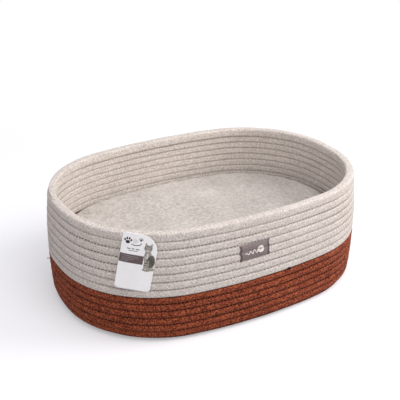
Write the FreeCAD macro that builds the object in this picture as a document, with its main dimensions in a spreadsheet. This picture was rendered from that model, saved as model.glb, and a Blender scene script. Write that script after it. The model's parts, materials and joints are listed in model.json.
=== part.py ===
import FreeCAD, Part
import math
import os
import Sketcher

# A sewn, coiled rope pet bed: an oval base coil, fourteen stacked wall rows, a loose
# plush cushion, a woven label on the long front side and a hang tag on a plastic pin.
# Millimetres, +X along the oval, +Z up, origin at the centre of the base on the floor.

doc = FreeCAD.newDocument("pet_bed")

SIZES = [
    ("base_rope", 10.5, "rope section in the flat coil"),
    ("wall_rope", 11.4, "rope section in the wall rows"),
    ("rim_rope", 12.6, "rope section of the top row"),
    ("base_pitch", 11.75, "spacing of the turns in the base"),
    ("base_flat", 0.4, "rope flattened where it rests on the floor"),
    ("base_level", 4.85, "centre height of the base coil"),
    ("core_half", 71.5, "half length of the straight core rope"),
    ("side_radius", 690.0, "bow of the long sides of a full turn"),
    ("end_ratio", 1.9, "end arc radius over half width of a full turn"),
    ("corner_ratio", 0.88, "corner arc radius over half width of a full turn"),
    ("belly_half", 173.5, "half width at the widest wall row, rope centre"),
    ("lower_tuck", 3.4, "first wall row, inward from the belly"),
    ("upper_tuck", 5.0, "rim row, inward from the belly"),
    ("first_level", 15.2, "centre height of the first wall row"),
    ("row_pitch", 11.75, "height of one wall row"),
    ("rim_step", 12.35, "height from the last plain row to the rim row"),
    ("thread", 1.2, "sewing thread"),
    ("thread_reach", 3.4, "thread line, out from the rope centres"),
    ("rim_thread_drop", 0.35, "thread under the rim, down from the middle of its groove"),
    ("cushion_half", 157.0, "half width of the cushion"),
    ("cushion_floor", 11.4, "underside of the cushion"),
    ("cushion_rise", 84.0, "thickness of the cushion"),
    ("cushion_round", 28.0, "rounding of the cushion edges"),
    ("cover_skin", 1.5, "plush cover thickness"),
    ("skin_gap", 0.3, "gap between cover panels and fill"),
    ("label_wide", 46.0, "woven label, along the rope"),
    ("label_tall", 23.0, "woven label, across two rows"),
    ("label_thick", 1.2, "woven label, folded double"),
    ("label_x", -18.8, "centre of the label"),
    ("label_y", -179.2, "back face of the label"),
    ("label_z", 125.8, "centre height of the label"),
    ("label_turn", 2.0, "label out of level, degrees"),
    ("label_stitch", 2.4, "length of one label stitch"),
    ("label_sewing", 0.5, "label thread"),
    ("tag_wide", 50.5, "card width"),
    ("tag_tall", 89.0, "card height"),
    ("tag_thick", 0.6, "card thickness"),
    ("tag_round", 5.0, "rounding of the plain card corners"),
    ("tag_cut", 25.0, "rounding of the large top corner"),
    ("tag_hole", 4.0, "hole in the card"),
    ("tag_drop", 10.8, "hole below the top edge"),
    ("tag_side", 18.5, "hole in from the plain side of the card"),
    ("tag_lean", 11.0, "lean of the card, degrees"),
    ("tag_bearing", -120.0, "direction the card faces, degrees"),
    ("tag_x", -188.45, "pin through the rim, on the upright plane touching the belly"),
    ("tag_y", -140.02, "pin through the rim, on the upright plane touching the belly"),
    ("pin", 1.2, "plastic tag pin"),
    ("pin_hole", 1.9, "opening left by the pin in the rope"),
    ("pin_bar", 9.0, "length of the pin's bar inside the rim"),
    ("pin_head", 6.0, "outer head of the pin"),
]

sheet = doc.addObject("Spreadsheet::Sheet", "Sizes")
sheet.set("A1", "name")
sheet.set("B1", "value")
sheet.set("C1", "meaning")
for row, (alias, number, meaning) in enumerate(SIZES, start=2):
    sheet.set(f"A{row}", alias)
    sheet.set(f"B{row}", str(number))
    sheet.set(f"C{row}", meaning)
    sheet.setAlias(f"B{row}", alias)
doc.recompute()

BASE_TURNS = 13
EDGE = 14
BROWN_ROWS = 6
WALL_ROWS = 14
BELLY_ROW = 8

nodes = {}


def value(expression):
    return float(sheet.evalExpression(expression))


def plane(body, role):
    return next(item for item in body.Origin.OriginFeatures if item.Role == role)


def new_body(label):
    body = doc.addObject("PartDesign::Body", "Body_" + label)
    body.Label = label
    return body


def new_sketch(body, name, role):
    sketch = body.newObject("Sketcher::SketchObject", name)
    sketch.AttachmentSupport = (plane(body, role), [""])
    sketch.MapMode = "FlatFace"
    return sketch


def bind(sketch, constraint, expression):
    """Add a dimension and drive it from the sheet."""
    index = sketch.addConstraint(constraint)
    sketch.setExpression(f"Constraints[{index}]", expression)


def place(item, x=None, y=None, z=None):
    """Drive the position of a finished piece from the sheet."""
    for axis, expression in (("x", x), ("y", y), ("z", z)):
        if expression is not None:
            item.setExpression("Placement.Base." + axis, expression)


def arc(cx, cy, radius, start, end):
    circle = Part.Circle(FreeCAD.Vector(cx, cy, 0), FreeCAD.Vector(0, 0, 1), radius)
    return Part.ArcOfCircle(circle, start, end)


def oval_rules(half_width, fullness):
    """Expressions for the end, corner and side radius of one turn.

    A turn close to the straight core is a plain stadium (fullness near 0). Towards the
    wall the ends flatten and the long sides bow out (fullness 1).
    """
    end = f"(1 + (Sizes.end_ratio - 1) * {fullness:.5f}) * ({half_width})"
    corner = f"(1 - (1 - Sizes.corner_ratio) * {fullness ** 0.6:.5f}) * ({half_width})"
    side = f"Sizes.side_radius / {fullness:.5f}"
    return end, corner, side


def oval(sketch, half_width, fullness):
    """One closed oval of tangent arcs; the core plus the half width is the half length."""
    b = value(half_width)
    a = b + value("core_half")
    end_rule, corner_rule, side_rule = oval_rules(half_width, fullness)
    end_radius = value(end_rule)
    corner_radius = value(corner_rule)
    side_radius = value(side_rule)
    end_x = a - end_radius
    side_y = b - side_radius
    reach = math.hypot(end_x, side_y)
    near = end_radius - corner_radius
    far = side_radius - corner_radius
    along = (near ** 2 - far ** 2 + reach ** 2) / (2 * reach)
    across = math.sqrt(near ** 2 - along ** 2)
    ux, uy = -end_x / reach, side_y / reach
    cx = end_x + along * ux - across * uy
    cy = along * uy + across * ux
    if cx + cy < end_x + along * (ux + uy):
        cx = end_x + along * ux + across * uy
        cy = along * uy - across * ux
    low = math.atan2(cy, cx - end_x)
    high = math.atan2(cy - side_y, cx)
    pi = math.pi
    sketch.addGeometry([
        arc(end_x, 0, end_radius, 0, low),
        arc(cx, cy, corner_radius, low, high),
        arc(0, side_y, side_radius, high, pi - high),
        arc(-cx, cy, corner_radius, pi - high, pi - low),
        arc(-end_x, 0, end_radius, pi - low, pi + low),
        arc(-cx, -cy, corner_radius, pi + low, pi + high),
        arc(0, -side_y, side_radius, pi + high, 2 * pi - high),
        arc(cx, -cy, corner_radius, 2 * pi - high, 2 * pi - low),
        arc(end_x, 0, end_radius, 2 * pi - low, 2 * pi),
    ])
    for index in range(9):
        sketch.addConstraint(Sketcher.Constraint("Tangent", index, 2, (index + 1) % 9, 1))
    for first, second in ((0, 4), (0, 8), (2, 6), (1, 3), (1, 5), (1, 7)):
        sketch.addConstraint(Sketcher.Constraint("Equal", first, second))
    sketch.addConstraint(Sketcher.Constraint("PointOnObject", 0, 1, -1))
    sketch.addConstraint(Sketcher.Constraint("PointOnObject", 0, 3, -1))
    sketch.addConstraint(Sketcher.Constraint("PointOnObject", 2, 3, -2))
    sketch.addConstraint(Sketcher.Constraint("Symmetric", 0, 3, 4, 3, -2))
    sketch.addConstraint(Sketcher.Constraint("Symmetric", 2, 3, 6, 3, -1))
    half_length = f"Sizes.core_half + {half_width}"
    bind(sketch, Sketcher.Constraint("DistanceX", -1, 1, 0, 1, a), half_length)
    bind(sketch, Sketcher.Constraint("DistanceY", 2, 3, -1, 1, -side_y),
         f"{side_rule} - ({half_width})")
    bind(sketch, Sketcher.Constraint("Radius", 0, end_radius), end_rule)
    bind(sketch, Sketcher.Constraint("Radius", 2, side_radius), side_rule)
    bind(sketch, Sketcher.Constraint("Radius", 1, corner_radius), corner_rule)


def round_section(profile, out, radius, out_rule, radius_rule):
    """A round section at a distance along the sketch's horizontal axis."""
    profile.addGeometry(Part.Circle(FreeCAD.Vector(out, 0, 0), FreeCAD.Vector(0, 0, 1), radius))
    profile.addConstraint(Sketcher.Constraint("PointOnObject", 0, 3, -1))
    bind(profile, Sketcher.Constraint("Radius", 0, radius), radius_rule)
    bind(profile, Sketcher.Constraint("DistanceX", -1, 1, 0, 3, out), out_rule)


def resting_section(profile, out, out_rule):
    """The section of the base rope: round, with a narrow flat where it rests."""
    radius = value("base_rope") / 2
    drop = radius - value("base_flat")
    half = math.acos(drop / radius)
    low = -math.pi / 2
    ends = (low + half, low + 2 * math.pi - half)
    profile.addGeometry(arc(out, 0, radius, *ends))
    corners = [FreeCAD.Vector(out + radius * math.cos(end), -drop, 0) for end in ends]
    profile.addGeometry(Part.LineSegment(corners[1], corners[0]))
    profile.addConstraint(Sketcher.Constraint("Coincident", 0, 2, 1, 1))
    profile.addConstraint(Sketcher.Constraint("Coincident", 1, 2, 0, 1))
    profile.addConstraint(Sketcher.Constraint("Horizontal", 1))
    profile.addConstraint(Sketcher.Constraint("PointOnObject", 0, 3, -1))
    bind(profile, Sketcher.Constraint("Radius", 0, radius), "Sizes.base_rope / 2")
    bind(profile, Sketcher.Constraint("DistanceY", 1, 1, 0, 3, drop),
         "Sizes.base_rope / 2 - Sizes.base_flat")
    if out_rule:
        bind(profile, Sketcher.Constraint("DistanceX", -1, 1, 0, 3, out), out_rule)
    else:
        profile.addConstraint(Sketcher.Constraint("PointOnObject", 0, 3, -2))


def ring(label, half_width, level, section, fullness=1.0):
    """A closed turn of rope or thread lying level at a height."""
    body = new_body(label)
    path = new_sketch(body, "Path_" + label, "XY_Plane")
    oval(path, half_width, fullness)
    profile = new_sketch(body, "Section_" + label, "XZ_Plane")
    out = value(half_width) + value("core_half")
    out_rule = f"Sizes.core_half + {half_width}"
    if section == "Sizes.base_rope":
        resting_section(profile, out, out_rule)
    else:
        round_section(profile, out, value(section) / 2, out_rule, f"({section}) / 2")
    sweep = body.newObject("PartDesign::AdditivePipe", "Sweep_" + label)
    sweep.Profile = profile
    sweep.Spine = (path, [""])
    place(body, z=level)
    return body


def row_half(row):
    """Half width of a wall row: tucked in at the foot, full at the belly, in at the rim."""
    if row <= BELLY_ROW:
        tuck, share = "lower_tuck", (BELLY_ROW - row) / (BELLY_ROW - 1)
    else:
        tuck, share = "upper_tuck", (row - BELLY_ROW) / (WALL_ROWS - BELLY_ROW)
    return f"Sizes.belly_half - {share ** 2:.5f} * Sizes.{tuck}"


def row_level(row):
    if row == WALL_ROWS:
        return f"Sizes.first_level + {row - 2} * Sizes.row_pitch + Sizes.rim_step"
    return f"Sizes.first_level + {row - 1} * Sizes.row_pitch"


def group(label, members):
    """Several pieces of one thread or fitting under one name."""
    bundle = doc.addObject("Part::Compound", "Group_" + label)
    bundle.Label = label
    bundle.Links = members
    nodes[label] = bundle


# --- base coil -----------------------------------------------------------------------

core = new_body("base_core")
core_section = new_sketch(core, "Core_section", "YZ_Plane")
resting_section(core_section, 0, None)
core_pad = core.newObject("PartDesign::Pad", "Core_pad")
core_pad.Profile = core_section
core_pad.setExpression("Length", "2 * Sizes.core_half")
place(core, x="-Sizes.core_half", z="Sizes.base_level")
nodes["base_core"] = core

for turn in range(1, BASE_TURNS + 1):
    label = f"base_turn_{turn:02d}"
    nodes[label] = ring(label, f"{turn} * Sizes.base_pitch", "Sizes.base_level",
                        "Sizes.base_rope", turn / EDGE)
nodes["base_edge_turn"] = ring("base_edge_turn", f"{EDGE} * Sizes.base_pitch",
                               "Sizes.base_level", "Sizes.base_rope")

# --- wall rows -----------------------------------------------------------------------

for row in range(1, WALL_ROWS):
    shade = "brown" if row <= BROWN_ROWS else "oatmeal"
    label = f"{shade}_wall_row_{row:02d}"
    nodes[label] = ring(label, row_half(row), row_level(row), "Sizes.wall_rope")

rim_whole = ring("rim_whole", row_half(WALL_ROWS), row_level(WALL_ROWS), "Sizes.rim_rope")
rim_bore = doc.addObject("Part::Cylinder", "Rim_bore")
rim_bore.setExpression("Radius", "Sizes.pin_hole / 2")
rim_bore.Height = 40
bearing = value("tag_bearing")
facing = FreeCAD.Rotation(FreeCAD.Vector(0, 0, 1), bearing)
outward = facing.multVec(FreeCAD.Vector(1, 0, 0))
level_pin = facing.multiply(FreeCAD.Rotation(FreeCAD.Vector(0, 1, 0), 90))
rim_bore.Placement.Rotation = level_pin
place(rim_bore, x=f"Sizes.tag_x - {30 * outward.x:.4f}", y=f"Sizes.tag_y - {30 * outward.y:.4f}",
      z=row_level(WALL_ROWS))
rim = doc.addObject("Part::Cut", "Rim")
rim.Base = rim_whole
rim.Tool = rim_bore
rim.Label = f"oatmeal_wall_row_{WALL_ROWS:02d}"
nodes[rim.Label] = rim

# --- sewing thread -------------------------------------------------------------------

for side, sign in (("top", "+"), ("under", "-")):
    base_lines = []
    for groove in range(1, EDGE):
        base_lines.append(ring(f"base_line_{groove:02d}_{side}",
                               f"{groove + 0.5} * Sizes.base_pitch",
                               f"Sizes.base_level {sign} Sizes.thread_reach",
                               "Sizes.thread", (groove + 0.5) / EDGE))
    group(f"base_stitching_{side}", base_lines)

brown_lines = []
step_out = value(row_half(1)) - value(f"{EDGE} * Sizes.base_pitch")
step_up = value(row_level(1)) - value("base_level")
step = math.hypot(step_out, step_up)
edge_half = f"({row_half(1)} + {EDGE} * Sizes.base_pitch) / 2"
edge_level = f"({row_level(1)} + Sizes.base_level) / 2"
for side, sign, other in (("out", "+", "-"), ("in", "-", "+")):
    brown_lines.append(ring(
        f"edge_line_{side}",
        f"{edge_half} {sign} {step_up / step:.4f} * Sizes.thread_reach",
        f"{edge_level} {other} {step_out / step:.4f} * Sizes.thread_reach",
        "Sizes.thread"))
oatmeal_lines = []
for groove in range(1, WALL_ROWS):
    half = f"({row_half(groove)} + {row_half(groove + 1)}) / 2"
    level = f"({row_level(groove)} + {row_level(groove + 1)}) / 2"
    if groove == WALL_ROWS - 1:
        level += " - Sizes.rim_thread_drop"
    lines = brown_lines if groove < BROWN_ROWS else oatmeal_lines
    for side, sign in (("out", "+"), ("in", "-")):
        lines.append(ring(f"wall_line_{groove:02d}_{side}",
                          f"{half} {sign} Sizes.thread_reach", level, "Sizes.thread"))
group("brown_wall_stitching", brown_lines)
group("oatmeal_wall_stitching", oatmeal_lines)

# --- cushion -------------------------------------------------------------------------


def face_at(shape, level):
    """Name of the flat face at a height."""
    for index, face in enumerate(shape.Faces, start=1):
        box = face.BoundBox
        if box.ZLength < 0.01 and abs(box.ZMin - level) < 0.01:
            return f"Face{index}"
    raise ValueError("no flat face at this height")


def edges_at(shape, level):
    """Names of the edges lying at a height."""
    found = []
    for index, edge in enumerate(shape.Edges, start=1):
        box = edge.BoundBox
        if box.ZLength < 0.01 and abs(box.ZMin - level) < 0.01:
            found.append(f"Edge{index}")
    return found


def pillow(label, half_width, height, rounding, rounded):
    """An oval pad with the edges at the given heights rounded."""
    body = new_body(label)
    outline = new_sketch(body, "Outline_" + label, "XY_Plane")
    oval(outline, half_width, 1.0)
    pad = body.newObject("PartDesign::Pad", "Pad_" + label)
    pad.Profile = outline
    pad.setExpression("Length", height)
    doc.recompute()
    names = [name for level in rounded for name in edges_at(pad.Shape, level)]
    fillet = body.newObject("PartDesign::Fillet", "Round_" + label)
    fillet.Base = (pad, names)
    fillet.setExpression("Radius", rounding)
    doc.recompute()
    return body, fillet


def cover(label, level, height, closed, opened):
    """Half of the plush cover: a rounded pad hollowed from its seam side."""
    body, fillet = pillow(label, "Sizes.cushion_half", height, "Sizes.cushion_round", [closed])
    skin = body.newObject("PartDesign::Thickness", "Skin_" + label)
    skin.Base = (fillet, [face_at(fillet.Shape, opened)])
    skin.setExpression("Value", "Sizes.cover_skin")
    skin.Reversed = True
    skin.Mode = 0
    skin.Join = 0
    place(body, z=level)
    nodes[label] = body


half_rise = value("(cushion_rise - skin_gap) / 2")
half_rise_rule = "(Sizes.cushion_rise - Sizes.skin_gap) / 2"
cover("cushion_top_cover", f"Sizes.cushion_floor + {half_rise_rule} + Sizes.skin_gap",
      half_rise_rule, half_rise, 0)
cover("cushion_bottom_cover", "Sizes.cushion_floor", half_rise_rule, 0, half_rise)

inset = "Sizes.cover_skin + Sizes.skin_gap"
fill_rise = value("cushion_rise - 2 * (cover_skin + skin_gap)")
fill, fill_round = pillow("cushion_fill", f"Sizes.cushion_half - ({inset})",
                          f"Sizes.cushion_rise - 2 * ({inset})",
                          f"Sizes.cushion_round - ({inset})", [0, fill_rise])
place(fill, z=f"Sizes.cushion_floor + {inset}")
nodes["cushion_fill"] = fill

# --- woven label ---------------------------------------------------------------------

# The label stands on the front wall, so its sketch plane is XZ and it grows towards -Y.
label_body = new_body("woven_label")
panel = new_sketch(label_body, "Label_outline", "XZ_Plane")
wide = value("label_wide")
tall = value("label_tall")
corners = [(-wide / 2, -tall / 2), (wide / 2, -tall / 2), (wide / 2, tall / 2), (-wide / 2, tall / 2)]
for index in range(4):
    start = FreeCAD.Vector(*corners[index], 0)
    end = FreeCAD.Vector(*corners[(index + 1) % 4], 0)
    panel.addGeometry(Part.LineSegment(start, end))
for index in range(4):
    panel.addConstraint(Sketcher.Constraint("Coincident", index, 2, (index + 1) % 4, 1))
for index, kind in enumerate(("Horizontal", "Vertical", "Horizontal", "Vertical")):
    panel.addConstraint(Sketcher.Constraint(kind, index))
panel.addConstraint(Sketcher.Constraint("Symmetric", 0, 1, 2, 1, -1, 1))
bind(panel, Sketcher.Constraint("DistanceX", 0, 1, 0, 2, wide), "Sizes.label_wide")
bind(panel, Sketcher.Constraint("DistanceY", 1, 1, 1, 2, tall), "Sizes.label_tall")
label_pad = label_body.newObject("PartDesign::Pad", "Label_pad")
label_pad.Profile = panel
label_pad.setExpression("Length", "Sizes.label_thick")
doc.recompute()
fold_edges = []
for index, edge in enumerate(label_pad.Shape.Edges, start=1):
    if edge.BoundBox.ZLength > tall / 2 and edge.BoundBox.YMax < -0.6 * value("label_thick"):
        fold_edges.append(f"Edge{index}")
folds = label_body.newObject("PartDesign::Fillet", "Label_folds")
folds.Base = (label_pad, fold_edges)
folds.Radius = 0.5
tilt = FreeCAD.Rotation(FreeCAD.Vector(0, 1, 0), -value("label_turn"))
label_body.Placement.Rotation = tilt
place(label_body, x="Sizes.label_x", y="Sizes.label_y", z="Sizes.label_z")
nodes["woven_label"] = label_body

label_stitches = []
for side in (-1, 1):
    for index in range(5):
        dx = side * (wide / 2 - 3.5)
        dz = (index - 2) * 4.2 - value("label_stitch") / 2
        offset = tilt.multVec(FreeCAD.Vector(dx, 0, dz))
        stitch = doc.addObject("Part::Cylinder", f"Label_stitch_{index}")
        stitch.setExpression("Radius", "Sizes.label_sewing / 2")
        stitch.setExpression("Height", "Sizes.label_stitch")
        stitch.Placement.Rotation = tilt
        place(stitch, x=f"Sizes.label_x + {offset.x:.4f}",
              y="Sizes.label_y - Sizes.label_thick - Sizes.label_sewing / 2 - 0.3",
              z=f"Sizes.label_z + {offset.z:.4f}")
        label_stitches.append(stitch)
group("label_stitching", label_stitches)

# --- hang tag and pin ----------------------------------------------------------------

# The card's own frame has its hole at the origin and the card in the XZ plane: +X along
# the card's width, +Z up the card, -Y away from the basket.
tag_body = new_body("hang_tag")
card = new_sketch(tag_body, "Card_outline", "XZ_Plane")
x0 = -value("tag_side")
x1 = x0 + value("tag_wide")
z1 = value("tag_drop")
z0 = z1 - value("tag_tall")
small = value("tag_round")
big = value("tag_cut")
half_pi = math.pi / 2


def line(ax, az, bx, bz):
    return Part.LineSegment(FreeCAD.Vector(ax, az, 0), FreeCAD.Vector(bx, bz, 0))


card.addGeometry([
    line(x0 + small, z0, x1 - small, z0),
    arc(x1 - small, z0 + small, small, 3 * half_pi, 4 * half_pi),
    line(x1, z0 + small, x1, z1 - big),
    arc(x1 - big, z1 - big, big, 0, half_pi),
    line(x1 - big, z1, x0 + small, z1),
    arc(x0 + small, z1 - small, small, half_pi, 2 * half_pi),
    line(x0, z1 - small, x0, z0 + small),
    arc(x0 + small, z0 + small, small, 2 * half_pi, 3 * half_pi),
])
for index in range(8):
    card.addConstraint(Sketcher.Constraint("Tangent", index, 2, (index + 1) % 8, 1))
card.addConstraint(Sketcher.Constraint("Horizontal", 0))
card.addConstraint(Sketcher.Constraint("Vertical", 2))
card.addConstraint(Sketcher.Constraint("Horizontal", 4))
card.addConstraint(Sketcher.Constraint("Vertical", 6))
for index in (1, 5, 7):
    bind(card, Sketcher.Constraint("Radius", index, small), "Sizes.tag_round")
bind(card, Sketcher.Constraint("Radius", 3, big), "Sizes.tag_cut")
bind(card, Sketcher.Constraint("DistanceX", 6, 1, -1, 1, -x0), "Sizes.tag_side")
bind(card, Sketcher.Constraint("DistanceX", -1, 1, 2, 1, x1), "Sizes.tag_wide - Sizes.tag_side")
bind(card, Sketcher.Constraint("DistanceY", -1, 1, 4, 1, z1), "Sizes.tag_drop")
bind(card, Sketcher.Constraint("DistanceY", 0, 1, -1, 1, -z0), "Sizes.tag_tall - Sizes.tag_drop")
card.addGeometry(Part.Circle(FreeCAD.Vector(0, 0, 0), FreeCAD.Vector(0, 0, 1), value("tag_hole") / 2))
card.addConstraint(Sketcher.Constraint("Coincident", 8, 3, -1, 1))
bind(card, Sketcher.Constraint("Radius", 8, value("tag_hole") / 2), "Sizes.tag_hole / 2")
tag_pad = tag_body.newObject("PartDesign::Pad", "Card")
tag_pad.Profile = card
tag_pad.setExpression("Length", "Sizes.tag_thick")
upright = FreeCAD.Rotation(FreeCAD.Vector(0, 0, 1), bearing + 90)
lean = FreeCAD.Rotation(FreeCAD.Vector(0, 1, 0), value("tag_lean"))
tag_body.Placement.Rotation = upright.multiply(lean)
clear = 0.4
place(tag_body, x=f"Sizes.tag_x + {clear * outward.x:.4f}", y=f"Sizes.tag_y + {clear * outward.y:.4f}",
      z=row_level(WALL_ROWS))
nodes["hang_tag"] = tag_body


def pin_part(name, kind, start):
    """A round piece of the pin on its level axis, start measured out from the card's plane."""
    piece = doc.addObject(kind, name)
    piece.Placement.Rotation = level_pin
    place(piece, x=f"Sizes.tag_x + {start * outward.x:.4f}",
          y=f"Sizes.tag_y + {start * outward.y:.4f}", z=row_level(WALL_ROWS))
    return piece


RIM_INSIDE = -20.1
HEAD_START = 1.4
shank = pin_part("Pin_shank", "Part::Cylinder", RIM_INSIDE)
shank.setExpression("Radius", "Sizes.pin / 2")
shank.Height = HEAD_START - RIM_INSIDE + 0.4
head = pin_part("Pin_head", "Part::Cylinder", HEAD_START)
head.setExpression("Radius", "Sizes.pin_head / 2")
head.Height = 0.8
bar = doc.addObject("Part::Cylinder", "Pin_bar")
bar.setExpression("Radius", "Sizes.pin * 0.6")
bar.setExpression("Height", "Sizes.pin_bar")
bar.Placement.Rotation = facing.multiply(FreeCAD.Rotation(FreeCAD.Vector(1, 0, 0), -90))
side_way = facing.multVec(FreeCAD.Vector(0, 1, 0))
bar_start = outward * RIM_INSIDE
place(bar, x=f"Sizes.tag_x + {bar_start.x:.4f} - {side_way.x:.4f} * Sizes.pin_bar / 2",
      y=f"Sizes.tag_y + {bar_start.y:.4f} - {side_way.y:.4f} * Sizes.pin_bar / 2",
      z=row_level(WALL_ROWS))
pin = doc.addObject("Part::MultiFuse", "Tag_pin")
pin.Shapes = [shank, head, bar]
pin.Label = "tag_pin"
nodes["tag_pin"] = pin

# --- check and write -----------------------------------------------------------------

doc.recompute()
for item in doc.Objects:
    if "Invalid" in item.State or "Error" in item.State:
        raise RuntimeError(f"{item.Name} did not compute: {item.State}")
os.makedirs("parts", exist_ok=True)
for label, item in nodes.items():
    shape = item.Shape
    if shape.isNull() or not shape.isValid():
        raise RuntimeError(f"{label} has no valid shape")
    shape.exportStep(f"parts/{label}.step")
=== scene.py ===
import json
import math

import bpy
import numpy as np
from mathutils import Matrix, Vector


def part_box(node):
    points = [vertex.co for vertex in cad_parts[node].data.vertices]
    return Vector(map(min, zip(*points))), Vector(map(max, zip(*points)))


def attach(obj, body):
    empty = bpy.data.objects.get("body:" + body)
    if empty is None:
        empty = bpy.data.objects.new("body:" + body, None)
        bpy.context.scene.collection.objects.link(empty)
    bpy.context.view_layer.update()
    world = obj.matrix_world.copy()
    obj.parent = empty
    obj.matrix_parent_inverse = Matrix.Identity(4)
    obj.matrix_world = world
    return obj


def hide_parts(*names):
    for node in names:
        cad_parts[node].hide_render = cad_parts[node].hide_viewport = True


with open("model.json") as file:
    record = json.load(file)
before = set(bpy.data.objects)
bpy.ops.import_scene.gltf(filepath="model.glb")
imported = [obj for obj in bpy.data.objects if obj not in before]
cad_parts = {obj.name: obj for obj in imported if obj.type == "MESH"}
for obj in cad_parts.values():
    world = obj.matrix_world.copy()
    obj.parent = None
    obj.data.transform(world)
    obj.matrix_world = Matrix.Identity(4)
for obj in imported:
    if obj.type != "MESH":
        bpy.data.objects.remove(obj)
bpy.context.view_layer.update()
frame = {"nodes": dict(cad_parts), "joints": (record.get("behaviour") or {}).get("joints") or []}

# --------------------------------------
# Sizes of the coil, in millimetres, as the CAD part has them
# --------------------------------------

MM = 0.001
CORE_HALF = 71.5
SIDE_RADIUS = 690.0
END_RATIO = 1.9
CORNER_RATIO = 0.88
BASE_PITCH = 11.75
EDGE = 14
WALL_ROWS = 14
BROWN_ROWS = 6
BELLY_HALF = 173.5
LOWER_TUCK = 3.4
UPPER_TUCK = 5.0
BELLY_ROW = 8
FIRST_LEVEL = 15.2
ROW_PITCH = 11.75
RIM_STEP = 12.35
SEAM = 1.72
STEP_RUN = 0.07
LAST = EDGE + WALL_ROWS


def turn_table():
    """Half width, height, fullness and rope radii (out, up) at the middle of each turn."""
    rows = [(-1.5, 5.95, 0.3 / EDGE, 5.8, 5.9)]
    for turn in range(1, EDGE):
        rows.append((turn * BASE_PITCH, 5.95, turn / EDGE, 5.85, 5.9))
    rows.append((EDGE * BASE_PITCH, 6.05, 1.0, 6.0, 6.0))
    for row in range(1, WALL_ROWS + 1):
        if row <= BELLY_ROW:
            tuck = LOWER_TUCK * ((BELLY_ROW - row) / (BELLY_ROW - 1)) ** 2
        else:
            tuck = UPPER_TUCK * ((row - BELLY_ROW) / (WALL_ROWS - BELLY_ROW)) ** 2
        level = FIRST_LEVEL + (row - 1) * ROW_PITCH
        out, up = 6.1, 5.95
        if row == WALL_ROWS:
            level = FIRST_LEVEL + (row - 2) * ROW_PITCH + RIM_STEP
            out, up = 6.7, 6.9
        rows.append((BELLY_HALF - tuck, level, 1.0, out, up))
    return np.array(rows)


TABLE = turn_table()


def oval(half, fullness, quarter):
    """Point of the oval of tangent arcs at a station: 0 right end, 1 back, 2 left, 3 front."""
    end = half * (1 + (END_RATIO - 1) * fullness)
    corner = half * (1 - (1 - CORNER_RATIO) * fullness ** 0.6)
    side = SIDE_RADIUS / fullness
    end_x = half + CORE_HALF - end
    side_y = half - side
    reach = np.hypot(end_x, side_y)
    near = end - corner
    far = side - corner
    along = (near ** 2 - far ** 2 + reach ** 2) / (2 * reach)
    across = np.sqrt(np.maximum(near ** 2 - along ** 2, 0))
    ux, uy = -end_x / reach, side_y / reach
    first = (end_x + along * ux - across * uy, along * uy + across * ux)
    second = (end_x + along * ux + across * uy, along * uy - across * ux)
    swap = first[0] + first[1] < second[0] + second[1]
    cx = np.where(swap, second[0], first[0])
    cy = np.where(swap, second[1], first[1])
    low = np.arctan2(cy, cx - end_x)
    high = np.arctan2(cy - side_y, cx)
    runs = (end * low, corner * (high - low), side * (np.pi / 2 - high))
    total = runs[0] + runs[1] + runs[2]
    turns = np.mod(quarter, 4.0)
    index = np.minimum(np.floor(turns).astype(int), 3)
    share = turns - index
    share = np.where(index % 2 == 0, share, 1 - share)
    run = share * total
    on_end = run <= runs[0]
    on_side = run >= runs[0] + runs[1]
    angle = np.where(on_end, run / end, np.where(
        on_side, high + (run - runs[0] - runs[1]) / side, low + (run - runs[0]) / corner))
    radius = np.where(on_end, end, np.where(on_side, side, corner))
    ox = np.where(on_end, end_x, np.where(on_side, 0.0, cx))
    oy = np.where(on_end, 0.0, np.where(on_side, side_y, cy))
    x = ox + radius * np.cos(angle)
    y = oy + radius * np.sin(angle)
    x = np.where((index == 1) | (index == 2), -x, x)
    y = np.where(index >= 2, -y, y)
    return x, y


def turned(u, v, degrees):
    """Flat coordinates turned anticlockwise."""
    lean = math.radians(degrees)
    return u * math.cos(lean) - v * math.sin(lean), u * math.sin(lean) + v * math.cos(lean)


def smooth(t):
    t = np.clip(t, 0, 1)
    return t * t * (3 - 2 * t)


def spiral(s):
    """Centre line of the rope after s turns, and its radii. Each turn starts at the seam.

    Low in the basket the rope climbs evenly. Higher up more and more of the climb is a
    short step at the seam, and the last turn lies level.
    """
    whole = np.floor(s)
    part = s - whole
    rise = 1 - np.clip((whole - EDGE - BROWN_ROWS) / (WALL_ROWS - BELLY_ROW), 0, 1)
    step = (1 - rise) / 2
    lift = rise * (part - 0.5)
    lift = lift - step * (1 - smooth(part / STEP_RUN))
    lift = lift + np.where(whole >= LAST - 1, 0.0, step * smooth((part - 1 + STEP_RUN) / STEP_RUN))
    at = np.minimum(np.where(whole >= LAST, LAST - 0.5, whole + 0.5 + lift), LAST - 0.5)
    stations = np.arange(len(TABLE)) - 0.5
    half, level, fullness, out, up = [np.interp(at, stations, column) for column in TABLE.T]
    x, y = oval(np.maximum(half, 0.6), fullness, SEAM + 4 * s)
    return np.stack([x, y, level], -1), out, up


def frames(s):
    """Centre, outward and upward directions along the rope."""
    step = 2e-4
    ahead, _, _ = spiral(s + step)
    behind, _, _ = spiral(s - step)
    centre, out, up = spiral(s)
    tangent = ahead - behind
    tangent /= np.linalg.norm(tangent, axis=1, keepdims=True)
    outward = np.cross(tangent, (0, 0, 1))
    outward /= np.linalg.norm(outward, axis=1, keepdims=True)
    upward = np.cross(outward, tangent)
    return centre, outward, upward, out, up


def stations_of(start, end, spacing):
    """Evenly spaced stations along the rope, with the run of rope up to each."""
    fine = np.linspace(start, end, int(4000 * (end - start)) + 2)
    centre, _, _ = spiral(fine)
    run = np.concatenate([[0], np.cumsum(np.linalg.norm(np.diff(centre, axis=0), axis=1))])
    count = max(4, int(round(run[-1] / spacing)))
    even = np.linspace(0, run[-1], count + 1)
    return np.interp(even, run, fine), even


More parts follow.
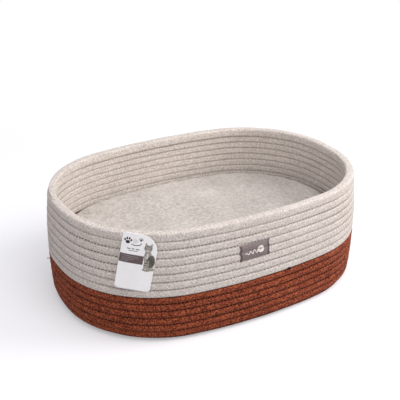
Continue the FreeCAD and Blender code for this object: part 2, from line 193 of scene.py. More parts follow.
# --------------------------------------
# Mesh helpers
# --------------------------------------


def mesh_from(name, points, quads, material):
    """A smooth mesh object from millimetre points and four-cornered faces."""
    mesh = bpy.data.meshes.new(name)
    points = np.asarray(points, dtype=np.float32) * MM
    quads = np.asarray(quads, dtype=np.int32)
    mesh.vertices.add(len(points))
    mesh.vertices.foreach_set("co", points.ravel())
    mesh.loops.add(quads.size)
    mesh.loops.foreach_set("vertex_index", quads.ravel())
    mesh.polygons.add(len(quads))
    mesh.polygons.foreach_set("loop_start", np.arange(0, quads.size, 4, dtype=np.int32))
    mesh.update(calc_edges=True)
    mesh.polygons.foreach_set("use_smooth", np.ones(len(quads), dtype=bool))
    mesh.validate()
    mesh.update()
    piece = bpy.data.objects.new(name, mesh)
    bpy.context.collection.objects.link(piece)
    mesh.materials.append(material)
    return piece


def mark(piece, label, values):
    """Writes one value per vertex as a named attribute, for the materials."""
    layer = piece.data.attributes.new(label, "FLOAT", "POINT")
    layer.data.foreach_set("value", values.astype(np.float32).ravel())


def grid_quads(rings, sides):
    """Faces of a tube of rings, closed around."""
    ring = np.arange(rings - 1)[:, None]
    side = np.arange(sides)[None, :]
    after = (side + 1) % sides
    a = ring * sides + side
    b = ring * sides + after
    return np.stack([a, b, b + sides, a + sides], -1).reshape(-1, 4)


def cap_quads(sides, first, flip):
    """Faces that close the end ring of a tube, as strips across it."""
    quads = []
    for i in range(sides // 2 - 1):
        quad = [first + i, first + i + 1, first + sides - 2 - i, first + sides - 1 - i]
        quads.append(quad[::-1] if flip else quad)
    return np.array(quads)


# --------------------------------------
# Materials
# --------------------------------------


class Nodes:
    """A small helper for building a material's nodes."""

    def __init__(self, name):
        self.material = bpy.data.materials.new(name)
        self.material.use_nodes = True
        self.tree = self.material.node_tree
        self.shader = self.tree.nodes["Principled BSDF"]

    def add(self, kind, **settings):
        node = self.tree.nodes.new(kind)
        for key, setting in settings.items():
            if key in node.inputs:
                node.inputs[key].default_value = setting
            else:
                setattr(node, key, setting)
        return node

    def join(self, source, target):
        self.tree.links.new(source, target)

    def place(self):
        return self.add("ShaderNodeTexCoord").outputs["Object"]

    def attribute(self, name):
        return self.add("ShaderNodeAttribute", attribute_name=name).outputs["Fac"]

    def math(self, operation, first, second, clamp=False):
        node = self.add("ShaderNodeMath", operation=operation, use_clamp=clamp)
        for index, item in enumerate((first, second)):
            if isinstance(item, (int, float)):
                node.inputs[index].default_value = item
            else:
                self.join(item, node.inputs[index])
        return node.outputs[0]

    def weighted(self, *parts):
        """Sum of (source, weight) parts."""
        total = self.math("MULTIPLY", *parts[0])
        for part in parts[1:]:
            total = self.math("ADD", total, self.math("MULTIPLY", *part))
        return total

    def mix(self, factor, first, second):
        node = self.add("ShaderNodeMix", data_type="RGBA")
        for index, item in ((0, factor), (6, first), (7, second)):
            if isinstance(item, (int, float, tuple)):
                node.inputs[index].default_value = item
            else:
                self.join(item, node.inputs[index])
        return node.outputs[2]

    def ramp(self, source, stops):
        node = self.add("ShaderNodeValToRGB")
        elements = node.color_ramp.elements
        while len(elements) < len(stops):
            elements.new(0.5)
        for element, (position, colour) in zip(elements, stops):
            element.position = position
            element.color = colour
        self.join(source, node.inputs[0])
        return node.outputs[0]

    def noise(self, vector, scale, detail=3.0, roughness=0.6):
        node = self.add("ShaderNodeTexNoise", Scale=scale, Detail=detail, Roughness=roughness)
        self.join(vector, node.inputs["Vector"])
        return node.outputs["Fac"]

    def bump(self, height, strength, distance, base=None):
        node = self.add("ShaderNodeBump", Strength=strength, Distance=distance)
        self.join(height, node.inputs["Height"])
        if base is not None:
            self.join(base, node.inputs["Normal"])
        return node.outputs["Normal"]

    def finish(self, colour, roughness, normal=None):
        self.join(colour, self.shader.inputs["Base Color"])
        self.shader.inputs["Roughness"].default_value = roughness
        if normal is not None:
            self.join(normal, self.shader.inputs["Normal"])
        self.shader.inputs["Specular IOR Level"].default_value = 0.25
        return self.material


def srgb(red, green, blue):
    """A display colour from 0 to 255 as linear light."""
    out = []
    for channel in (red, green, blue):
        c = channel / 255
        out.append(c / 12.92 if c <= 0.04045 else ((c + 0.055) / 1.055) ** 2.4)
    return (*out, 1.0)


def rope_material(name, light, middle, dark, spread, depth, groove, sheen):
    """Braided cotton: yarn-to-yarn colour changes, painted shade in the braid's hollows and in the grooves
    between turns, and fine fibre relief.
    """
    n = Nodes(name)
    place = n.place()
    yarn = n.noise(place, 640.0, 2.0, 0.8)
    patch = n.noise(place, 60.0, 2.0, 0.6)
    wide = n.noise(place, 14.0, 2.0, 0.5)
    weave = n.attribute("relief")
    float_tone = n.attribute("tone")
    tone = n.weighted((yarn, 0.8), (patch, 0.04), (wide, 0.04), (float_tone, 0.12))
    colour = n.ramp(tone, [(0.5 - spread, dark), (0.5, middle), (0.5 + spread, light)])
    # Painted shade: a deep shadow tone. The colour darkens towards it in the braid's hollows, by depth, and
    # in the grooves between turns, by groove.
    shadow = tuple(0.28 * c for c in dark[:3]) + (1.0,)
    hollow = n.math("MULTIPLY", n.math("SUBTRACT", 1.0, weave, clamp=True), depth, clamp=True)
    colour = n.mix(hollow, colour, shadow)
    # Painted shade in the grooves where the rope meets a neighbour, from the groove attribute that rope()
    # writes.
    painted_groove_shade = n.attribute("groove")
    colour = n.mix(n.math("MULTIPLY", painted_groove_shade, groove), colour, shadow)
    fibre = n.noise(place, 2600.0, 2.0, 0.7)
    normal = n.bump(yarn, 0.55, 0.0006)
    normal = n.bump(fibre, 0.35, 0.0003, normal)
    material = n.finish(colour, 0.92, normal)
    n.shader.inputs["Sheen Weight"].default_value = sheen
    n.shader.inputs["Sheen Roughness"].default_value = 0.6
    n.shader.inputs["Specular IOR Level"].default_value = 0.1 + sheen
    return material


def thread_material(name, colour, shade):
    n = Nodes(name)
    place = n.place()
    strand = n.noise(place, 1400.0, 2.0)
    tint = n.mix(strand, colour, shade)
    return n.finish(tint, 0.75, n.bump(strand, 0.4, 0.0003))


oatmeal_rope = rope_material("oatmeal_rope", srgb(234, 225, 217), srgb(211, 200, 191),
                             srgb(182, 170, 161), 0.1, 0.36, 0.26, 0.12)
brown_rope = rope_material("brown_rope", srgb(190, 102, 66), srgb(137, 62, 39),
                           srgb(72, 27, 16), 0.075, 0.55, 1.0, 0.03)
oatmeal_thread = thread_material("oatmeal_thread", srgb(218, 208, 199), srgb(192, 181, 172))
brown_thread = thread_material("brown_thread", srgb(142, 70, 44), srgb(106, 48, 30))

# --------------------------------------
# Rope
# --------------------------------------

STRANDS = 14
BRAID_PITCH = 36.0
BRAID_RELIEF = 0.6
OATMEAL_BOX = 5.0
BROWN_BOX = 2.9
RIM_OVERLAP = 0.05


def braid(run, around):
    """Relief of a round braid, 0 in the hollows to 1 on the crowns, and a tone per yarn float."""
    a = STRANDS * (around / (2 * np.pi) + run / BRAID_PITCH)
    b = STRANDS * (around / (2 * np.pi) - run / BRAID_PITCH)
    whole_a, whole_b = np.floor(a), np.floor(b)
    across_a, across_b = 2 * (a - whole_a) - 1, 2 * (b - whole_b) - 1
    over = np.mod(whole_a + whole_b, 2) == 0
    across = np.where(over, across_a, across_b)
    along = np.where(over, across_b, across_a)
    relief = np.sqrt(np.maximum(1 - 0.9 * across ** 2, 0)) * (1 - 0.45 * along ** 2)
    around_a = np.mod(whole_a, 977.0)
    around_b = np.mod(whole_b, 983.0)
    tone = np.mod(np.sin(around_a * 12.9898 + around_b * 78.233) * 43758.5453, 1.0)
    return relief, tone


def rope(name, start, end, material, spacing=0.96, sides=44, box=OATMEAL_BOX, groove_shade_sides=(0, 1, 1)):
    """One stretch of the spiral as braided rope, its section squared off a little between its turns.

    The last argument says how much painted shade goes into the grooves where the rope meets a neighbour, at
    its sides, above and below.
    """
    s, run = stations_of(start, end, spacing)
    centre, outward, upward, out, up = frames(s)
    around = np.linspace(0, 2 * np.pi, sides, endpoint=False)[None, :]
    relief, tone = braid(run[:, None] + start * 1361.0, around)
    shape = (np.abs(np.cos(around)) ** box + np.abs(np.sin(around)) ** box) ** (-1 / box)
    uneven = 0.14 * np.sin(run / 31.0 + start * 7)[:, None] + 0.1 * np.sin(run / 11.3 + start * 3)[:, None]
    grow = (relief - 0.75) * BRAID_RELIEF + uneven
    thin = 0.86 * smooth((s - (LAST - 0.07)) / 0.125)
    left = (1 - thin)[:, None]
    across = (out[:, None] * (1 - 0.5 * thin[:, None]) + grow * left) * shape * np.cos(around)
    rise = (up[:, None] * left + np.minimum(grow, 0.15) * left) * shape * np.sin(around)
    rise = rise + (up * thin)[:, None]
    points = (centre[:, None, :] + across[..., None] * outward[:, None, :]
              + rise[..., None] * upward[:, None, :])
    rings = len(s)
    quads = np.concatenate([
        grid_quads(rings, sides)[:, ::-1],
        cap_quads(sides, 0, False),
        cap_quads(sides, (rings - 1) * sides, True),
    ])
    piece = mesh_from(name, points.reshape(-1, 3), quads, material)
    # Painted shade: how strongly the material darkens each face where the rope meets a neighbour in a groove.
    beside = smooth((np.abs(shape * np.cos(around)) - 0.74) / 0.22) * groove_shade_sides[0]
    above = smooth((shape * np.sin(around) - 0.74) / 0.22) * groove_shade_sides[1]
    below = smooth((-shape * np.sin(around) - 0.74) / 0.22) * groove_shade_sides[2]
    groove = np.maximum(np.maximum(above, below), beside) + 0 * relief
    for label, values in (("relief", relief), ("tone", tone), ("groove", groove)):
        mark(piece, label, values)
    return piece


def fit(piece, body, slot, *nodes):
    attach(piece, body)
    if nodes:
        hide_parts(*nodes)
    return piece


BASE_ROPE = {"spacing": 1.7, "sides": 24, "box": 3.2, "groove_shade_sides": (1, 0, 0)}
fit(rope("base_coil_inner", -(SEAM - 0.03) / 4, 7, brown_rope, **BASE_ROPE), "basket", "rope_brown",
    "base_core", *[f"base_turn_{turn:02d}" for turn in range(1, 8)])
fit(rope("base_coil_middle", 7, 11, brown_rope, **BASE_ROPE), "basket", "rope_brown",
    *[f"base_turn_{turn:02d}" for turn in range(8, 12)])
fit(rope("base_coil_outer", 11, 13, brown_rope, **BASE_ROPE), "basket", "rope_brown",
    "base_turn_12", "base_turn_13")
fit(rope("edge_turn", 13, 14, brown_rope, box=BROWN_BOX, groove_shade_sides=(0, 1, 0)), "basket", "rope_brown",
    "base_edge_turn")
for row in range(1, WALL_ROWS + 1):
    brown = row <= BROWN_ROWS
    shade = "brown" if brown else "oatmeal"
    end = EDGE + row + (RIM_OVERLAP if row == WALL_ROWS else 0)
    groove_shade_sides = (0, 0, 1) if row == WALL_ROWS else (0, 1, 1)
    material, box = (brown_rope, BROWN_BOX) if brown else (oatmeal_rope, OATMEAL_BOX)
    course = rope(f"{shade}_course_{row:02d}", EDGE + row - 1, end, material, box=box, groove_shade_sides=groove_shade_sides)
    fit(course, "basket", "rope_" + shade, f"{shade}_wall_row_{row:02d}")

# --------------------------------------
# Sewing
# --------------------------------------


def thread_tube(name, paths, radius, sides, material):
    """Tubes of thread along many short paths of equal point count."""
    paths = np.asarray(paths)
    count, length, _ = paths.shape
    tangent = np.gradient(paths, axis=1)
    tangent /= np.maximum(np.linalg.norm(tangent, axis=2, keepdims=True), 1e-9)
    helper = np.cross(tangent, (0.31, 0.22, 0.92))
    helper /= np.maximum(np.linalg.norm(helper, axis=2, keepdims=True), 1e-9)
    other = np.cross(tangent, helper)
    around = np.linspace(0, 2 * np.pi, sides, endpoint=False)
    points = (paths[:, :, None, :] + radius * np.cos(around)[None, None, :, None] * helper[:, :, None, :]
              + radius * np.sin(around)[None, None, :, None] * other[:, :, None, :])
    one = np.concatenate([grid_quads(length, sides), cap_quads(sides, 0, True),
                          cap_quads(sides, (length - 1) * sides, False)])
    block = one[None] + (np.arange(count) * length * sides)[:, None, None]
    return mesh_from(name, points.reshape(-1, 3), block.reshape(-1, 4), material)


STITCH_REACH = 0.84
STITCH_SLANT = 1.0


def bridges(start, end, side, stitch, box):
    """Stitches across the groove between a turn and the next one, on one face of the coil."""
    s, _ = stations_of(start, end, stitch)
    c1, n1, u1, o1, _ = frames(s)
    c2, _, _, o2, _ = frames(s + 1)
    link = c2 - c1
    link /= np.linalg.norm(link, axis=1, keepdims=True)
    tangent = np.cross(u1, n1)
    face = np.cross(link, tangent) * side
    near, proud = math.cos(STITCH_REACH), math.sin(STITCH_REACH)
    bulge = (near ** box + proud ** box) ** (-1 / box)
    low = c1 + (link * near + face * proud) * (o1 * bulge)[:, None]
    high = c2 + (-link * near + face * proud) * (o2 * bulge)[:, None]
    shift = tangent * STITCH_SLANT / 2
    low, high = low - shift, high + shift
    across = high - low
    return np.stack([low - face * 1.5 - across * 0.15, low - face * 0.15, low + across * 0.3 - face * 0.3,
                     low + across * 0.7 - face * 0.3, high - face * 0.15,
                     high - face * 1.5 + across * 0.15], 1)


def sew(name, start, end, side, stitch, radius, box, material, slot, *nodes):
    paths = bridges(start, end, side, stitch, box)
    return fit(thread_tube(name, paths, radius, 6, material), "basket", slot, *nodes)


BASE_BOX = BASE_ROPE["box"]
sew("base_stitches_upper", 0.02, 12.98, 1, 5.8, 0.7, BASE_BOX, brown_thread, "thread_brown",
    "base_stitching_top")
sew("base_stitches_under", 0.02, 12.98, -1, 5.8, 0.7, BASE_BOX, brown_thread, "thread_brown",
    "base_stitching_under")
sew("brown_stitches_out", 13.0, 20.0, -1, 5.6, 0.8, BROWN_BOX, brown_thread, "thread_brown",
    "brown_wall_stitching")
sew("brown_stitches_in", 13.0, 20.0, 1, 5.6, 0.8, BROWN_BOX, brown_thread, "thread_brown")
sew("oatmeal_stitches_out", 20.0, 26.93, -1, 5.6, 0.85, OATMEAL_BOX, oatmeal_thread, "thread_oatmeal",
    "oatmeal_wall_stitching")
sew("oatmeal_stitches_in", 20.0, 26.93, 1, 5.6, 0.85, OATMEAL_BOX, oatmeal_thread, "thread_oatmeal")

# --------------------------------------
# Cushion
# --------------------------------------

CUSHION_HALF = 165.0
CUSHION_FLOOR = 12.6
CUSHION_CROWN = 101.5
CUSHION_SEAM = 56.0
CASE_HALF = 153.0
CASE_MIDDLE = 52.0
CASE_DEPTH = 31.0
CROWN_FALL = 6.5
SHOULDER = 0.955
UNDER_SHOULDER = 0.93
CLOTH_FRAMES = 20
CLOTH_TRAVEL = 0.026
SECTORS = 120


def plush_material():
    """Short velvety pile: soft clumps with painted shade between them, over random tone, with a pale sheen.
    """
    n = Nodes("plush")
    place = n.place()
    clump = n.noise(place, 190.0, 3.0, 0.65)
    pile = n.noise(place, 900.0, 2.0, 0.7)
    wide = n.noise(place, 16.0, 2.0, 0.5)
    # Painted shade between the clumps, over random tone: the colour darkens with the clump and pile noise
    # that also lowers the bump.
    tone = n.weighted((clump, 0.45), (pile, 0.35), (wide, 0.2))
    colour = n.ramp(tone, [(0.36, srgb(150, 141, 134)), (0.5, srgb(190, 181, 173)),
                           (0.64, srgb(216, 208, 201))])
    normal = n.bump(clump, 0.6, 0.0022)
    normal = n.bump(pile, 0.5, 0.0008, normal)
    material = n.finish(colour, 0.95, normal)
    n.shader.inputs["Sheen Weight"].default_value = 0.35
    n.shader.inputs["Sheen Roughness"].default_value = 0.5
    return material


def evaluated(piece):
    """Vertices of a piece with its modifiers."""
    made = piece.evaluated_get(bpy.context.evaluated_depsgraph_get())
    points = np.empty(len(made.data.vertices) * 3, dtype=np.float32)
    made.data.vertices.foreach_get("co", points)
    return points.reshape(-1, 3).astype(float)


def apply_modifiers(piece):
    """Puts what the modifiers make into the mesh itself."""
    made = piece.evaluated_get(bpy.context.evaluated_depsgraph_get())
    mesh = bpy.data.meshes.new_from_object(made)
    piece.modifiers.clear()
    piece.data = mesh


def set_points(piece, points):
    piece.data.vertices.foreach_set("co", np.asarray(points, dtype=np.float32).ravel())
    piece.data.update()


def wall_reach(points):
    """How far out each millimetre point lies, how far the cushion's outline lies there, and the bearing."""
    x, y = oval(np.full(721, CUSHION_HALF), np.ones(721), np.linspace(0, 4, 721))
    bearing = np.unwrap(np.arctan2(y, x))
    angle = np.mod(np.arctan2(points[:, 1], points[:, 0]) - bearing[0], 2 * np.pi) + bearing[0]
    return np.hypot(points[:, 0], points[:, 1]), np.interp(angle, bearing, np.hypot(x, y)), angle


def cushion_section():
    """Half cross-section from the middle of the top to that of the underside, 1 wide and 1 tall each way."""
    turn = np.radians(np.linspace(0, 90, 60))
    flat = np.linspace(0, SHOULDER, 60)
    crown = 1 - CROWN_FALL / (CUSHION_CROWN - CUSHION_SEAM) * flat ** 4
    wide = np.concatenate([
        flat,
        SHOULDER + (1 - SHOULDER) * np.sin(turn),
        UNDER_SHOULDER + (1 - UNDER_SHOULDER) * np.cos(turn),
        UNDER_SHOULDER - flat,
    ])
    tall = np.concatenate([crown, crown[-1] * np.cos(turn), -np.sin(turn), -1 + 0 * flat])
    return np.maximum(wide, 0), tall


def cushion_case(material):
    """The case as sewn: two panels that meet at the edge, as an even mesh."""
    around = np.linspace(0, 4, 96, endpoint=False)
    sweep = np.radians(np.linspace(-86, 86, 25))
    x, y = oval(np.full(96, CASE_HALF), np.ones(96), around)
    share = np.cos(sweep) ** 0.3
    rise = CASE_MIDDLE + CASE_DEPTH * np.sign(sweep) * np.abs(np.sin(sweep)) ** 0.5
    points = np.stack([share[:, None] * x, share[:, None] * y, rise[:, None] + 0 * x], -1)
    rings, sides = points.shape[:2]
    quads = np.concatenate([grid_quads(rings, sides), cap_quads(sides, 0, True),
                            cap_quads(sides, (rings - 1) * sides, False)])
    piece = mesh_from("plush_cushion", points.reshape(-1, 3), quads, material)
    remesh = piece.modifiers.new("remesh", "REMESH")
    remesh.mode = "VOXEL"
    remesh.voxel_size = 5.6 * MM
    apply_modifiers(piece)
    return piece


def blow_up(piece):
    """Fills the case under pressure as cloth, which moves no further than CLOTH_TRAVEL."""
    start = evaluated(piece)
    cloth = piece.modifiers.new("cloth", "CLOTH")
    cloth.settings.use_pressure = True
    cloth.settings.uniform_pressure_force = 4.0
    cloth.settings.effector_weights.gravity = 0.0
    cloth.settings.tension_stiffness = 25.0
    cloth.settings.compression_stiffness = 25.0
    cloth.point_cache.frame_start = 1
    cloth.point_cache.frame_end = CLOTH_FRAMES
    scene = bpy.context.scene
    for frame_number in range(1, CLOTH_FRAMES + 1):
        scene.frame_set(frame_number)
    blown = evaluated(piece)
    piece.modifiers.clear()
    scene.frame_set(1)
    move = blown - start
    length = np.linalg.norm(move, axis=1, keepdims=True)
    set_points(piece, start + move * np.minimum(1, CLOTH_TRAVEL / np.maximum(length, 1e-9)))


def cushion_shape(points):
    """The blown case brought to the cushion's section, with its seam, hollows and puckers."""
    reach, limit, angle = wall_reach(points)
    sector = (angle / (2 * np.pi) * SECTORS).astype(int) % SECTORS
    widest = np.zeros(SECTORS)
    np.maximum.at(widest, sector, reach / limit)
    widest = (np.roll(widest, 1) + widest + np.roll(widest, -1)) / 3
    middles = (np.arange(SECTORS) + 0.5) / SECTORS * 2 * np.pi
    share = np.minimum(reach / limit / np.interp(angle, middles, widest, period=2 * np.pi), 1)
    low, high = points[:, 2].min(), points[:, 2].max()
    height = 2 * (points[:, 2] - low) / (high - low) - 1
    wide, tall = cushion_section()
    wanted = np.interp(np.arctan2(height, share), np.arctan2(tall, wide)[::-1], np.hypot(wide, tall)[::-1])
    grow = 1 + 0.93 * (wanted / np.maximum(np.hypot(share, height), 1e-6) - 1)
    share, height = share * grow, height * grow
    half = np.where(height > 0, CUSHION_CROWN - CUSHION_SEAM, CUSHION_SEAM - CUSHION_FLOOR)
    rise = CUSHION_SEAM + height * half
    off_seam = (rise - CUSHION_SEAM) / 5.0
    share = share - 0.018 * np.exp(-off_seam ** 2)
    share = share - 0.005 * (1 + np.sin(angle * 61 + np.sin(angle * 9))) * np.exp(-(off_seam / 2.8) ** 2)
    share = np.minimum(share, 0.999)
    upper = smooth((height - 0.1) / 0.6)
    hollow = 2.4 * np.exp(-((share - 0.55) / 0.22) ** 2) * np.cos(angle * 3 + 0.7)
    hollow = hollow + 1.5 * np.sin(points[:, 0] / 37 + 1.3) * np.sin(points[:, 1] / 29)
    pucker = 0.5 * np.sin(angle * 37) * smooth((share - 0.72) / 0.2)
    rise = rise + upper * (hollow * 0.6 * (1 - smooth((share - 0.72) / 0.18)) + pucker - 0.6)
    scale = share * limit / np.maximum(reach, 1e-6)
    points = np.stack([points[:, 0] * scale, points[:, 1] * scale, np.maximum(rise, CUSHION_FLOOR)], -1)
    return points, share


def tufts(points, share):
    """Height of the pile at each point, none on the flat underside or past the wall."""
    random = np.random.default_rng(11)
    waves = random.normal(0, 1 / 5.0, (24, 3))
    shift = random.uniform(0, 6.28, 24)
    tuft = np.sin(points @ waves.T * 2 + shift).sum(1) / 24 ** 0.5
    tuft = np.clip(tuft, -1.6, 1.6) * 0.5 + random.normal(0, 0.12, len(points))
    tuft = np.where(points[:, 2] > CUSHION_FLOOR + 1.5, tuft, 0)
    tuft = np.where(share > 0.985, np.minimum(tuft, 0), tuft)
    return tuft


def plush_cushion(material):
    """Two panels sewn at the edge, blown up as cloth and brought to the cushion's section."""
    piece = cushion_case(material)
    blow_up(piece)
    finer = piece.modifiers.new("finer", "SUBSURF")
    finer.levels = 1
    finer.render_levels = 1
    apply_modifiers(piece)
    points, share = cushion_shape(evaluated(piece) / MM)
    set_points(piece, points * MM)
    piece.data.polygons.foreach_set("use_smooth", np.ones(len(piece.data.polygons), dtype=bool))
    normals = np.empty(len(points) * 3, dtype=np.float32)
    piece.data.vertices.foreach_get("normal", normals)
    tuft = tufts(points, share)
    set_points(piece, (points + normals.reshape(-1, 3) * tuft[:, None]) * MM)
    fit(piece, "cushion", "plush", "cushion_top_cover", "cushion_bottom_cover", "cushion_fill")


def cushion_piping(material):
    """The cord sewn between the two panels, at the cushion's widest line."""
    rings, sides, radius = 720, 10, 1.5
    x, y = oval(np.full(rings, CUSHION_HALF * 0.987), np.ones(rings), np.linspace(0, 4, rings + 1)[:-1])
    around = np.linspace(0, 2 * np.pi, sides, endpoint=False)
    outward = np.stack([x, y], -1) / np.hypot(x, y)[:, None]
    points = np.stack([
        x[:, None] + radius * np.cos(around) * outward[:, :1],
        y[:, None] + radius * np.cos(around) * outward[:, 1:],
        CUSHION_SEAM + radius * np.sin(around) + 0 * x[:, None],
    ], -1)
    side = np.arange(sides)
    after = (side + 1) % sides
    last = (rings - 1) * sides
    quads = np.concatenate([grid_quads(rings, sides), np.stack([last + side, last + after, after, side], -1)])
    fit(mesh_from("cushion_piping", points.reshape(-1, 3), quads, material), "cushion", "plush")


cushion_plush = plush_material()
plush_cushion(cushion_plush)
cushion_piping(cushion_plush)

# --------------------------------------
# Woven label
# --------------------------------------

LABEL_WIDE = 48.5
LABEL_TALL = 24.5
LABEL_TURN = math.radians(2.0)
label_low, label_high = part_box("woven_label")
LABEL_X = 500 * (label_low[0] + label_high[0])
LABEL_Z = 500 * (label_low[2] + label_high[2])


def front_wall(x, z, proud):
    """Point of the front wall's outer face, over the rows' crowns and part way into the grooves."""
    row = (z - FIRST_LEVEL) / ROW_PITCH
    crown = np.abs(np.cos(np.pi * row)) ** 0.7
    half = np.interp(row + EDGE + 1, np.arange(len(TABLE)), TABLE[:, 0])
    reach = half + 6.3 - 1.3 * (1 - crown) + proud
    side = SIDE_RADIUS + reach - half
    y = -((half - SIDE_RADIUS) + np.sqrt(side ** 2 - x ** 2))
    return np.stack([x + 0 * y, y, z + 0 * y], -1)


def on_label(u, v, proud):
    """Point of the label, u along it and v up from its centre."""
    x = LABEL_X + u * math.cos(LABEL_TURN) - v * math.sin(LABEL_TURN)
    z = LABEL_Z + u * math.sin(LABEL_TURN) + v * math.cos(LABEL_TURN)
    return front_wall(x, z, proud)


def label_material():
    """Twill tape: fine slanting ribs, with painted shade at its folded and sewn ends and along its top and
    bottom edges.
    """
    n = Nodes("label_tape")
    place = n.place()
    wave = n.add("ShaderNodeTexWave", Scale=520.0, Distortion=0.6, Detail=1.0, bands_direction="DIAGONAL")
    n.join(place, wave.inputs["Vector"])
    rib = wave.outputs["Fac"]
    yarn = n.noise(place, 1100.0, 2.0, 0.7)
    fold = n.attribute("fold")
    tone = n.weighted((rib, 0.35), (yarn, 0.65))
    colour = n.ramp(tone, [(0.25, srgb(104, 90, 90)), (0.5, srgb(128, 114, 113)),
                           (0.75, srgb(150, 136, 134))])
    # Painted shade: the fold attribute darkens the colour at the folded ends and along the top and bottom
    # edges.
    colour = n.mix(fold, colour, srgb(92, 78, 76))
    normal = n.bump(rib, 0.35, 0.0003)
    normal = n.bump(yarn, 0.4, 0.0003, normal)
    material = n.finish(colour, 0.82, normal)
    n.shader.inputs["Sheen Weight"].default_value = 0.1
    return material


def label_tape(material):
    """The tape as one closed sheet, doubled at its two ends."""
    u = np.linspace(-LABEL_WIDE / 2, LABEL_WIDE / 2, 93)
    v = np.linspace(-LABEL_TALL / 2, LABEL_TALL / 2, 57)
    grid_u, grid_v = np.meshgrid(u, v, indexing="ij")
    scallop = 0.9 * np.cos(2 * np.pi * (grid_v + LABEL_Z - FIRST_LEVEL) / ROW_PITCH)
    wide_u = grid_u * (1 - scallop / (LABEL_WIDE / 2) * (np.abs(grid_u) / (LABEL_WIDE / 2)) ** 4)
    from_end = LABEL_WIDE / 2 - np.abs(grid_u)
    fold = 1 - smooth((from_end - 2.6) / 0.7)
    edge = smooth((from_end) / 0.8) * smooth((LABEL_TALL / 2 - np.abs(grid_v)) / 0.7)
    thick = 0.9 + 0.5 * fold - 0.35 * np.exp(-((from_end - 1.5) / 0.4) ** 2)
    front = on_label(wide_u, grid_v, thick * (0.55 + 0.45 * edge))
    behind = on_label(wide_u, grid_v, 0.15)
    columns, rows = grid_u.shape
    a = (np.arange(columns - 1)[:, None] * rows + np.arange(rows - 1)[None, :])
    face = np.stack([a, a + rows, a + rows + 1, a + 1], -1).reshape(-1, 4)
    count = columns * rows
    low = np.arange(columns) * rows
    left = np.arange(rows)
    sides = []
    right = left + (columns - 1) * rows
    for line, flip in ((low, False), (low + rows - 1, True), (left, True), (right, False)):
        strip = np.stack([line[:-1], line[:-1] + count, line[1:] + count, line[1:]], -1)
        sides.append(strip[:, ::-1] if flip else strip)
    quads = np.concatenate([face, face[:, ::-1] + count] + sides)
    points = np.concatenate([front.reshape(-1, 3), behind.reshape(-1, 3)])
    piece = mesh_from("label_tape", points, quads, material)
    # Painted shade for the label's material: darker at the folded ends and along the top and bottom edges,
    # written as the fold attribute.
    edge_shade_mask = 1 - smooth((LABEL_TALL / 2 - np.abs(grid_v)) / 0.9)
    shade = np.clip(np.maximum(fold * 0.85, edge_shade_mask * 0.6), 0, 1)
    mark(piece, "fold", np.stack([shade, shade]))
    return piece


def path_tube(name, path, radius, sides, material):
    """One thread along a path of millimetre points."""
    return thread_tube(name, np.asarray(path)[None], radius, sides, material)


def join_pieces(name, pieces):
    """Several mesh pieces of one material as one."""
    if len(pieces) > 1:
        with bpy.context.temp_override(active_object=pieces[0], selected_editable_objects=pieces,
                                       selected_objects=pieces):
            bpy.ops.object.join()
    pieces[0].name = name
    pieces[0].data.name = name
    return pieces[0]


label_thread = thread_material("label_thread", srgb(120, 104, 100), srgb(84, 70, 68))
motif_thread = thread_material("motif_thread", srgb(246, 240, 230), srgb(224, 216, 206))
fit(label_tape(label_material()), "basket", "label_weave", "woven_label")



def label_stitches(material):
    """Five stitches along each folded end of the label."""
    along = np.linspace(-1, 1, 7)
    dip = 1.45 - 0.7 * np.abs(along) ** 3
    stitches = [on_label(np.full(7, end * 22.8), (index - 2) * 4.3 + 1.3 * along, dip)
                for end in (-1, 1) for index in range(5)]
    fit(thread_tube("label_stitches", np.array(stitches), 0.28, 6, material), "basket", "label_thread",
        "label_stitching")


label_stitches(label_thread)


YARN_TURNS = ((4.9, 4.9, 0), (4.7, 2.6, 35), (4.7, 2.4, -35), (4.5, 1.1, 80), (3.2, 3.1, 0))
YARN_U, YARN_V = 9.2, 0.6
MOTIF_PROUD = 1.3


def label_motif(material):
    """An embroidered ball of yarn with its loose end trailing off in growing waves."""
    trail = np.linspace(0, 1, 90)
    trail_u = -16.5 + 20.5 * trail
    trail_v = -2.2 + 1.8 * trail + (0.9 + 2.3 * trail) * np.sin(trail * 19.0)
    parts = [path_tube("motif_trail", on_label(trail_u, trail_v, MOTIF_PROUD), 0.55, 6, material)]
    wind = np.linspace(0, 2 * np.pi, 40)
    for turn_wide, turn_tall, lean in YARN_TURNS:
        u, v = turned(turn_wide * np.cos(wind), turn_tall * np.sin(wind), lean)
        path = on_label(YARN_U + u, YARN_V + v, MOTIF_PROUD)
        parts.append(path_tube("motif_ball", path, 0.5, 6, material))
    fit(join_pieces("label_motif", parts), "basket", "label_thread")


label_motif(motif_thread)

# --------------------------------------
# Hang tag
# --------------------------------------

TAG_LEAN = math.radians(11.0)
TAG_BEARING = math.radians(-120.0)
TAG_LEFT, TAG_RIGHT = -18.5, 32.0
TAG_TOP, TAG_BOTTOM = 10.8, -78.2
TAG_THICK = 0.6
TAG_ROUND = 5
TAG_CUT = 25
swing = [joint for joint in frame["joints"] if joint["name"] == "tag_swing"][0]
PIN = np.array(swing["pos_m"]) * 1000
FACING = np.array([math.cos(TAG_BEARING), math.sin(TAG_BEARING), 0.0])
LEVEL = np.array([-math.sin(TAG_BEARING), math.cos(TAG_BEARING), 0.0])
UPRIGHT = np.array([0.0, 0.0, 1.0])
TAG_ACROSS = LEVEL * math.cos(TAG_LEAN) - UPRIGHT * math.sin(TAG_LEAN)
TAG_UP = LEVEL * math.sin(TAG_LEAN) + UPRIGHT * math.cos(TAG_LEAN)
corners = np.array([vertex.co[:] for vertex in frame["nodes"]["hang_tag"].data.vertices]) * 1000
CARD_FACE = float(max(corners @ FACING - PIN @ FACING))


